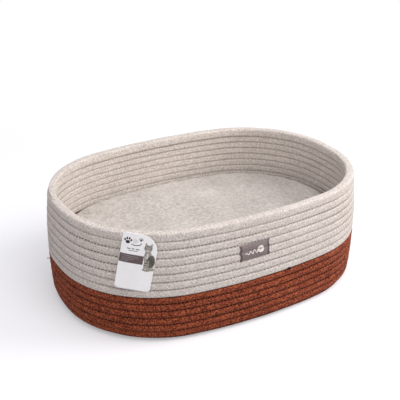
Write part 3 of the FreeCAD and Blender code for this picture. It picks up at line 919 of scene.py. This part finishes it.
def card_point(x, y, proud):
    """Point of the card: x across it, y up from its hole, proud of its printed face."""
    x, y = np.asarray(x, dtype=float), np.asarray(y, dtype=float)
    bend = -1.6 * (np.clip(-4 - x, 0, None) / 14.5) ** 2 + 0.5 * np.sin((y + 30) / 28)
    near = 1 - np.exp(-(x ** 2 + y ** 2) / 150)
    depth = CARD_FACE + proud + bend * near
    return PIN + x[..., None] * TAG_ACROSS + y[..., None] * TAG_UP + depth[..., None] * FACING


def card_outline():
    """The card's edge, anticlockwise as seen from its printed side."""
    points = []
    for cx, cy, radius, first in (
            (TAG_RIGHT - TAG_CUT, TAG_TOP - TAG_CUT, TAG_CUT, 0),
            (TAG_LEFT + TAG_ROUND, TAG_TOP - TAG_ROUND, TAG_ROUND, 90),
            (TAG_LEFT + TAG_ROUND, TAG_BOTTOM + TAG_ROUND, TAG_ROUND, 180),
            (TAG_RIGHT - TAG_ROUND, TAG_BOTTOM + TAG_ROUND, TAG_ROUND, 270)):
        for angle in np.radians(np.linspace(first, first + 90, 16)):
            points.append((cx + radius * math.cos(angle), cy + radius * math.sin(angle)))
    return np.array(points)


def even_outline(outline, count):
    """A closed outline as count evenly spaced points."""
    closed = np.vstack([outline, outline[:1]])
    run = np.concatenate([[0], np.cumsum(np.hypot(*np.diff(closed, axis=0).T))])
    at = np.linspace(0, run[-1], count, endpoint=False)
    return np.stack([np.interp(at, run, closed[:, 0]), np.interp(at, run, closed[:, 1])], -1)


def card_material():
    n = Nodes("card")
    place = n.place()
    fibre = n.noise(place, 700.0, 3.0, 0.6)
    wide = n.noise(place, 40.0, 2.0, 0.5)
    tone = n.weighted((fibre, 0.5), (wide, 0.5))
    colour = n.ramp(tone, [(0.3, srgb(240, 237, 236)), (0.7, srgb(252, 250, 249))])
    material = n.finish(colour, 0.48, n.bump(fibre, 0.12, 0.0002))
    n.shader.inputs["Coat Weight"].default_value = 0.08
    return material


def ink_material(name, colour, shade):
    n = Nodes(name)
    place = n.place()
    grain = n.noise(place, 900.0, 2.0, 0.6)
    return n.finish(n.mix(grain, colour, shade), 0.5, n.bump(grain, 0.1, 0.0001))


def hang_tag(material):
    outline = even_outline(card_outline(), 240)
    angle = np.arctan2(outline[:, 1], outline[:, 0])
    hole = 2.0 * np.stack([np.cos(angle), np.sin(angle)], -1)
    steps = np.linspace(0, 1, 46)
    flat = np.array([hole * (1 - share) + outline * share for share in steps ** 1.15])
    edge = np.clip((1 - steps) / 0.012, 0, 1) ** 0.5
    front = card_point(flat[..., 0], flat[..., 1], -0.12 * (1 - edge[:, None]))
    behind = card_point(flat[..., 0], flat[..., 1], -TAG_THICK + 0.12 * (1 - edge[:, None]))
    count, sides = flat.shape[:2]
    face = grid_quads(count, sides)[:, ::-1]
    total = count * sides
    around = np.arange(sides)
    after = (around + 1) % sides
    inner = np.stack([around, after, after + total, around + total], -1)
    last = (count - 1) * sides
    outer = np.stack([last + around, last + around + total, last + after + total, last + after], -1)
    quads = np.concatenate([face, face[:, ::-1] + total, inner, outer])
    points = np.concatenate([front.reshape(-1, 3), behind.reshape(-1, 3)])
    fit(mesh_from("tag_card", points, quads, material), "tag", "card", "hang_tag")


def print_shape(outline, proud, material, rings=6, count=72):
    """A printed shape as a thin inlay on the card's face."""
    outline = even_outline(np.asarray(outline, dtype=float), count)
    centre = outline.mean(0)
    flat = np.array([centre + (outline - centre) * share for share in np.linspace(0.02, 1, rings)])
    top = card_point(flat[..., 0], flat[..., 1], proud)
    skirt = card_point(outline[:, 0], outline[:, 1], 0.02)[None]
    points = np.concatenate([top, skirt])
    quads = np.concatenate([grid_quads(rings + 1, count)[:, ::-1], cap_quads(count, 0, False)])
    return mesh_from("print", points.reshape(-1, 3), quads, material)


def ellipse(x, y, wide, tall, lean=0.0, count=48):
    angle = np.linspace(0, 2 * np.pi, count, endpoint=False)
    u, v = wide * np.cos(angle), tall * np.sin(angle)
    u, v = turned(u, v, lean)
    return np.stack([x + u, y + v], -1)


def bar(x0, y0, x1, y1, grow=0.3):
    """A bar with rounded ends between two points."""
    along = np.array([x1 - x0, y1 - y0], dtype=float)
    along /= np.hypot(*along)
    across = np.array([-along[1], along[0]])
    points = []
    for centre, first in (((x1, y1), -90), ((x0, y0), 90)):
        for angle in np.radians(np.linspace(first, first + 180, 9)):
            points.append(np.array(centre) + grow * (along * math.cos(angle) + across * math.sin(angle)))
    return np.array(points)


def panel(x0, y0, x1, y1):
    return np.array([(x0, y0), (x1, y0), (x1, y1), (x0, y1)], dtype=float)


card = card_material()
grey_ink = ink_material("grey_ink", srgb(108, 93, 93), srgb(92, 79, 79))
dark_ink = ink_material("dark_ink", srgb(66, 60, 62), srgb(50, 46, 48))
line_ink = ink_material("line_ink", srgb(168, 156, 154), srgb(150, 139, 138))
pale_ink = ink_material("pale_ink", srgb(222, 216, 214), srgb(204, 198, 196))
coat_ink = ink_material("coat_ink", srgb(186, 180, 170), srgb(140, 134, 125))
saddle_ink = ink_material("saddle_ink", srgb(112, 108, 98), srgb(88, 84, 76))
stripe_ink = ink_material("stripe_ink", srgb(84, 80, 72), srgb(66, 62, 56))

hang_tag(card)


def printed(name, outlines, proud, material, **detail):
    pieces = [print_shape(outline, proud, material, **detail) for outline in outlines]
    fit(join_pieces(name, pieces), "tag", "card")


printed("tag_band", [panel(-18.2, -35.6, 15.0, -22.0)], 0.12, grey_ink, rings=14, count=96)
printed("tag_band_lines", [bar(-15.5, -25.0, 7.5, -25.0, 0.4), bar(-15.5, -27.6, 9.0, -27.6, 0.3),
                           bar(-15.5, -30.2, 2.0, -30.2, 0.3), bar(-15.5, -32.8, -5.0, -32.8, 0.3)],
        0.2, line_ink, rings=3, count=40)
printed("tag_marks", [
    ellipse(-10.2, -3.4, 3.1, 2.5), ellipse(-14.4, -0.4, 1.25, 1.8, 28), ellipse(-11.8, 2.0, 1.25, 1.9, 8),
    ellipse(-8.5, 2.0, 1.25, 1.9, -8), ellipse(-5.9, -0.4, 1.25, 1.8, -28),
    bar(-4.5, -6.5, 1.0, -7.6, 0.55), bar(1.0, -7.6, 6.5, -6.3, 0.55), bar(6.5, -6.3, 9.0, -3.2, 0.5),
    ellipse(7.4, 1.4, 1.5, 1.3), ellipse(5.2, 3.0, 0.6, 0.9, 25), ellipse(6.8, 4.2, 0.6, 0.9, 5),
    ellipse(8.7, 4.0, 0.6, 0.9, -10), ellipse(9.9, 2.5, 0.6, 0.9, -30),
    bar(-9.5, -13.2, -5.5, -13.2, 0.6), bar(-2.8, -13.2, 0.2, -13.2, 0.6), bar(2.8, -13.2, 7.0, -13.2, 0.6),
    bar(-7.5, -16.2, 5.0, -16.2, 0.35),
], 0.12, dark_ink, rings=3, count=40)

# A sitting tabby of simple shapes, in shares of its own width and height
CAT_LEFT, CAT_LOW, CAT_WIDE, CAT_TALL = 10.2, -45.0, 22.5, 45.5


def cat(points):
    points = np.asarray(points, dtype=float)
    return np.stack([CAT_LEFT + CAT_WIDE * points[:, 0], CAT_LOW + CAT_TALL * points[:, 1]], -1)


def printed_cat():
    """The printed cat from its tail forward, each layer a little prouder than the last."""
    tail_run = np.linspace(0, 1, 14)
    tail_x = 0.86 - 0.62 * tail_run
    tail_y = 0.09 - 0.075 * np.sin(tail_run * 2.6)
    tail = np.concatenate([np.stack([tail_x, tail_y + 0.022], -1),
                           np.stack([tail_x, tail_y - 0.022], -1)[::-1]])
    printed("tag_cat_tail", [cat(tail)], 0.1, coat_ink, rings=3, count=60)
    printed("tag_cat_body", [cat(ellipse(0.62, 0.33, 0.34, 0.27, 8)),
                             cat(ellipse(0.45, 0.5, 0.23, 0.24, -10))], 0.14, coat_ink)
    printed("tag_cat_saddle", [cat(ellipse(0.68, 0.36, 0.24, 0.22, 8))], 0.17, saddle_ink)
    printed("tag_cat_legs", [cat(ellipse(0.36, 0.22, 0.075, 0.2, 2)), cat(ellipse(0.54, 0.2, 0.075, 0.2, -2)),
                             cat(ellipse(0.84, 0.1, 0.15, 0.055))], 0.18, coat_ink, rings=4)
    printed("tag_cat_head", [cat(ellipse(0.4, 0.79, 0.25, 0.115, 0)),
                             cat([(0.17, 0.83), (0.19, 0.99), (0.38, 0.88)]),
                             cat([(0.43, 0.88), (0.62, 0.99), (0.63, 0.83)])], 0.22, coat_ink)
    stripes = [cat(ellipse(0.21, 0.85 - 0.03 * k, 0.05, 0.008, 12)) for k in range(3)]
    stripes += [cat(ellipse(0.59, 0.85 - 0.03 * k, 0.05, 0.008, -12)) for k in range(3)]
    stripes += [cat(ellipse(0.3 + 0.02 * k, 0.63 - 0.05 * k, 0.07, 0.01, -25)) for k in range(3)]
    for index in range(5):
        x = 0.55 + 0.075 * index
        stripes.append(cat(ellipse(x, 0.44 - 0.035 * index, 0.02, 0.1, -14 - 5 * index)))
    for x, lean in ((0.33, 10), (0.4, 0), (0.47, -10)):
        stripes.append(cat(ellipse(x, 0.865, 0.014, 0.03, lean)))
    stripes += [cat(ellipse(0.36, 0.2, 0.07, 0.013)), cat(ellipse(0.36, 0.28, 0.07, 0.013)),
                cat(ellipse(0.54, 0.2, 0.07, 0.013)), cat(ellipse(0.54, 0.28, 0.07, 0.013)),
                cat(ellipse(0.3, 0.78, 0.03, 0.016)), cat(ellipse(0.5, 0.78, 0.03, 0.016)),
                cat(ellipse(0.4, 0.735, 0.022, 0.011))]
    printed("tag_cat_stripes", stripes, 0.26, stripe_ink, rings=3, count=30)
    printed("tag_cat_muzzle", [cat(ellipse(0.4, 0.715, 0.085, 0.032)), cat(ellipse(0.4, 0.52, 0.09, 0.1))],
            0.245, pale_ink, rings=3, count=36)


printed_cat()

# --------------------------------------
# Tag pin, knot and loose thread end
# --------------------------------------


def nylon_material():
    n = Nodes("nylon")
    place = n.place()
    cloud = n.noise(place, 260.0, 2.0, 0.5)
    tint = n.mix(cloud, srgb(232, 230, 226), srgb(214, 212, 208))
    material = n.finish(tint, 0.32, n.bump(cloud, 0.1, 0.0003))
    n.shader.inputs["Subsurface Weight"].default_value = 0.2
    n.shader.inputs["Subsurface Radius"].default_value = (0.002, 0.002, 0.002)
    return material


pin = frame["nodes"]["tag_pin"]
pin.data.materials.clear()
pin.data.materials.append(nylon_material())

def thread_knot(material):
    """The knot at the colour change under the label, with its two short ends."""
    x, y, z = front_wall(np.array([43.5]), np.array([78.6]), 0.6)[0]
    winding = np.linspace(0, 2 * np.pi * 4, 90)
    loops = np.stack([x + 2.2 * np.cos(winding) * np.cos(winding / 4.3),
                      y - 0.7 * np.sin(winding / 2.1),
                      z + 1.9 * np.sin(winding) * np.cos(winding / 6.1)], -1)
    tip = np.linspace(0, 1, 12)
    ends = [np.stack([x + 1.0 + 3.2 * tip, y - 0.5 + 1.2 * tip ** 2, z - 1.6 * tip], -1),
            np.stack([x - 1.0 - 1.8 * tip, y - 0.5 + 0.8 * tip ** 2, z + 1.3 * tip], -1)]
    parts = [path_tube("knot_loops", loops, 0.75, 6, material)]
    parts += [path_tube("knot_end", path, 0.42, 6, material) for path in ends]
    fit(join_pieces("thread_knot", parts), "basket", "thread_brown")


def loose_thread_end(material):
    """The end of thread that sticks out at the left of the colour change."""
    centre, outward, upward, out, up = frames(np.array([EDGE + BROWN_ROWS + 0.043]))
    root = centre[0] + outward[0] * (out[0] - 0.8) - upward[0] * (up[0] + 3.0)
    tip = np.linspace(0, 1, 18)[:, None]
    tangent = np.cross(upward[0], outward[0])
    path = root + outward[0] * (6.0 * tip) - tangent * (3.2 * tip ** 1.3)
    path = path + upward[0] * (1.6 * np.sin(tip * 3))
    fit(path_tube("loose_thread_end", path, 0.6, 6, material), "basket", "thread_brown")


dark_thread = thread_material("dark_thread", srgb(44, 30, 26), srgb(30, 21, 18))
thread_knot(dark_thread)
loose_thread_end(dark_thread)

# --------------------------------------
# Stage, light and camera
# --------------------------------------


def stage_floor():
    """A pale floor that glows white to the camera as painted light, a little near the basket, which lightens
    its shadow, and fully far off, where it fades into the white surroundings; other rays see it dim grey.
    """
    half = 9000.0
    points = [(-half, -half, 0), (half, -half, 0), (half, half, 0), (-half, half, 0)]
    n = Nodes("pale_floor")
    place = n.place()
    tone = n.mix(n.noise(place, 1.5, 2.0), (0.93, 0.915, 0.945, 1), (0.95, 0.935, 0.96, 1))
    n.finish(tone, 0.9)
    n.shader.inputs["Specular IOR Level"].default_value = 0.0
    distance = n.add("ShaderNodeVectorMath", operation="LENGTH")
    n.join(place, distance.inputs[0])
    fade = n.add("ShaderNodeMapRange", interpolation_type="SMOOTHSTEP")
    n.join(distance.outputs["Value"], fade.inputs["Value"])
    fade.inputs["From Min"].default_value = 0.42
    fade.inputs["From Max"].default_value = 0.95
    # Painted light: to the camera the floor glows white, mixed in at 0.3 near the basket, which lightens its
    # shadow there, and fully far off.
    seen = n.add("ShaderNodeLightPath").outputs["Is Camera Ray"]
    white = n.add("ShaderNodeEmission", Strength=1.0)
    blend = n.add("ShaderNodeMixShader")
    fade.inputs["To Min"].default_value = 0.3
    n.join(n.math("MULTIPLY", fade.outputs["Result"], seen), blend.inputs[0])
    n.join(n.shader.outputs[0], blend.inputs[1])
    n.join(white.outputs[0], blend.inputs[2])
    dim = n.add("ShaderNodeBsdfDiffuse", Color=(0.42, 0.41, 0.43, 1))
    last = n.add("ShaderNodeMixShader")
    n.join(seen, last.inputs[0])
    n.join(dim.outputs[0], last.inputs[1])
    n.join(blend.outputs[0], last.inputs[2])
    n.join(last.outputs[0], n.tree.nodes["Material Output"].inputs["Surface"])
    mesh_from("floor", points, [[0, 1, 2, 3]], n.material)


def area_light(name, place, target, size, power, colour=(1, 1, 1)):
    light = bpy.data.lights.new(name, "AREA")
    light.shape = "DISK"
    light.size = size
    light.energy = power
    light.color = colour
    item = bpy.data.objects.new(name, light)
    item.location = place
    item.rotation_euler = (Vector(target) - Vector(place)).to_track_quat("-Z", "Y").to_euler()
    bpy.context.collection.objects.link(item)


stage_floor()
middle = (0, 0, 0.09)
area_light("key", (1.7, -0.85, 1.3), middle, 1.5, 36, (1.0, 0.985, 0.965))
area_light("front", (0.0, -1.3, 2.2), middle, 1.9, 24)
area_light("fill", (-1.5, -1.3, 0.9), middle, 1.6, 5, (0.95, 0.96, 1.0))

world = bpy.data.worlds.new("studio")
bpy.context.scene.world = world
world.use_nodes = True
world.node_tree.nodes["Background"].inputs["Color"].default_value = (0.95, 0.955, 1.0, 1)
world.node_tree.nodes["Background"].inputs["Strength"].default_value = 0.665

azimuth = math.radians(-29.841)
elevation = math.radians(24.95)
back = Vector((math.sin(azimuth) * math.cos(elevation), -math.cos(azimuth) * math.cos(elevation),
               math.sin(elevation)))
right = Vector((math.cos(azimuth), math.sin(azimuth), 0))
above = back.cross(right)
camera = bpy.data.cameras.new("camera")
camera.lens = 80.0
camera.sensor_width = 36.0
camera.clip_end = 50
view = bpy.data.objects.new("camera", camera)
view.location = Vector((0, 0, 0.0885)) - right * 0.0063 + above * 0.036616 + back * 1.4386
view.rotation_euler = (-back).to_track_quat("-Z", "Y").to_euler()
bpy.context.collection.objects.link(view)
bpy.context.scene.camera = view
bpy.context.scene.view_settings.view_transform = "Standard"
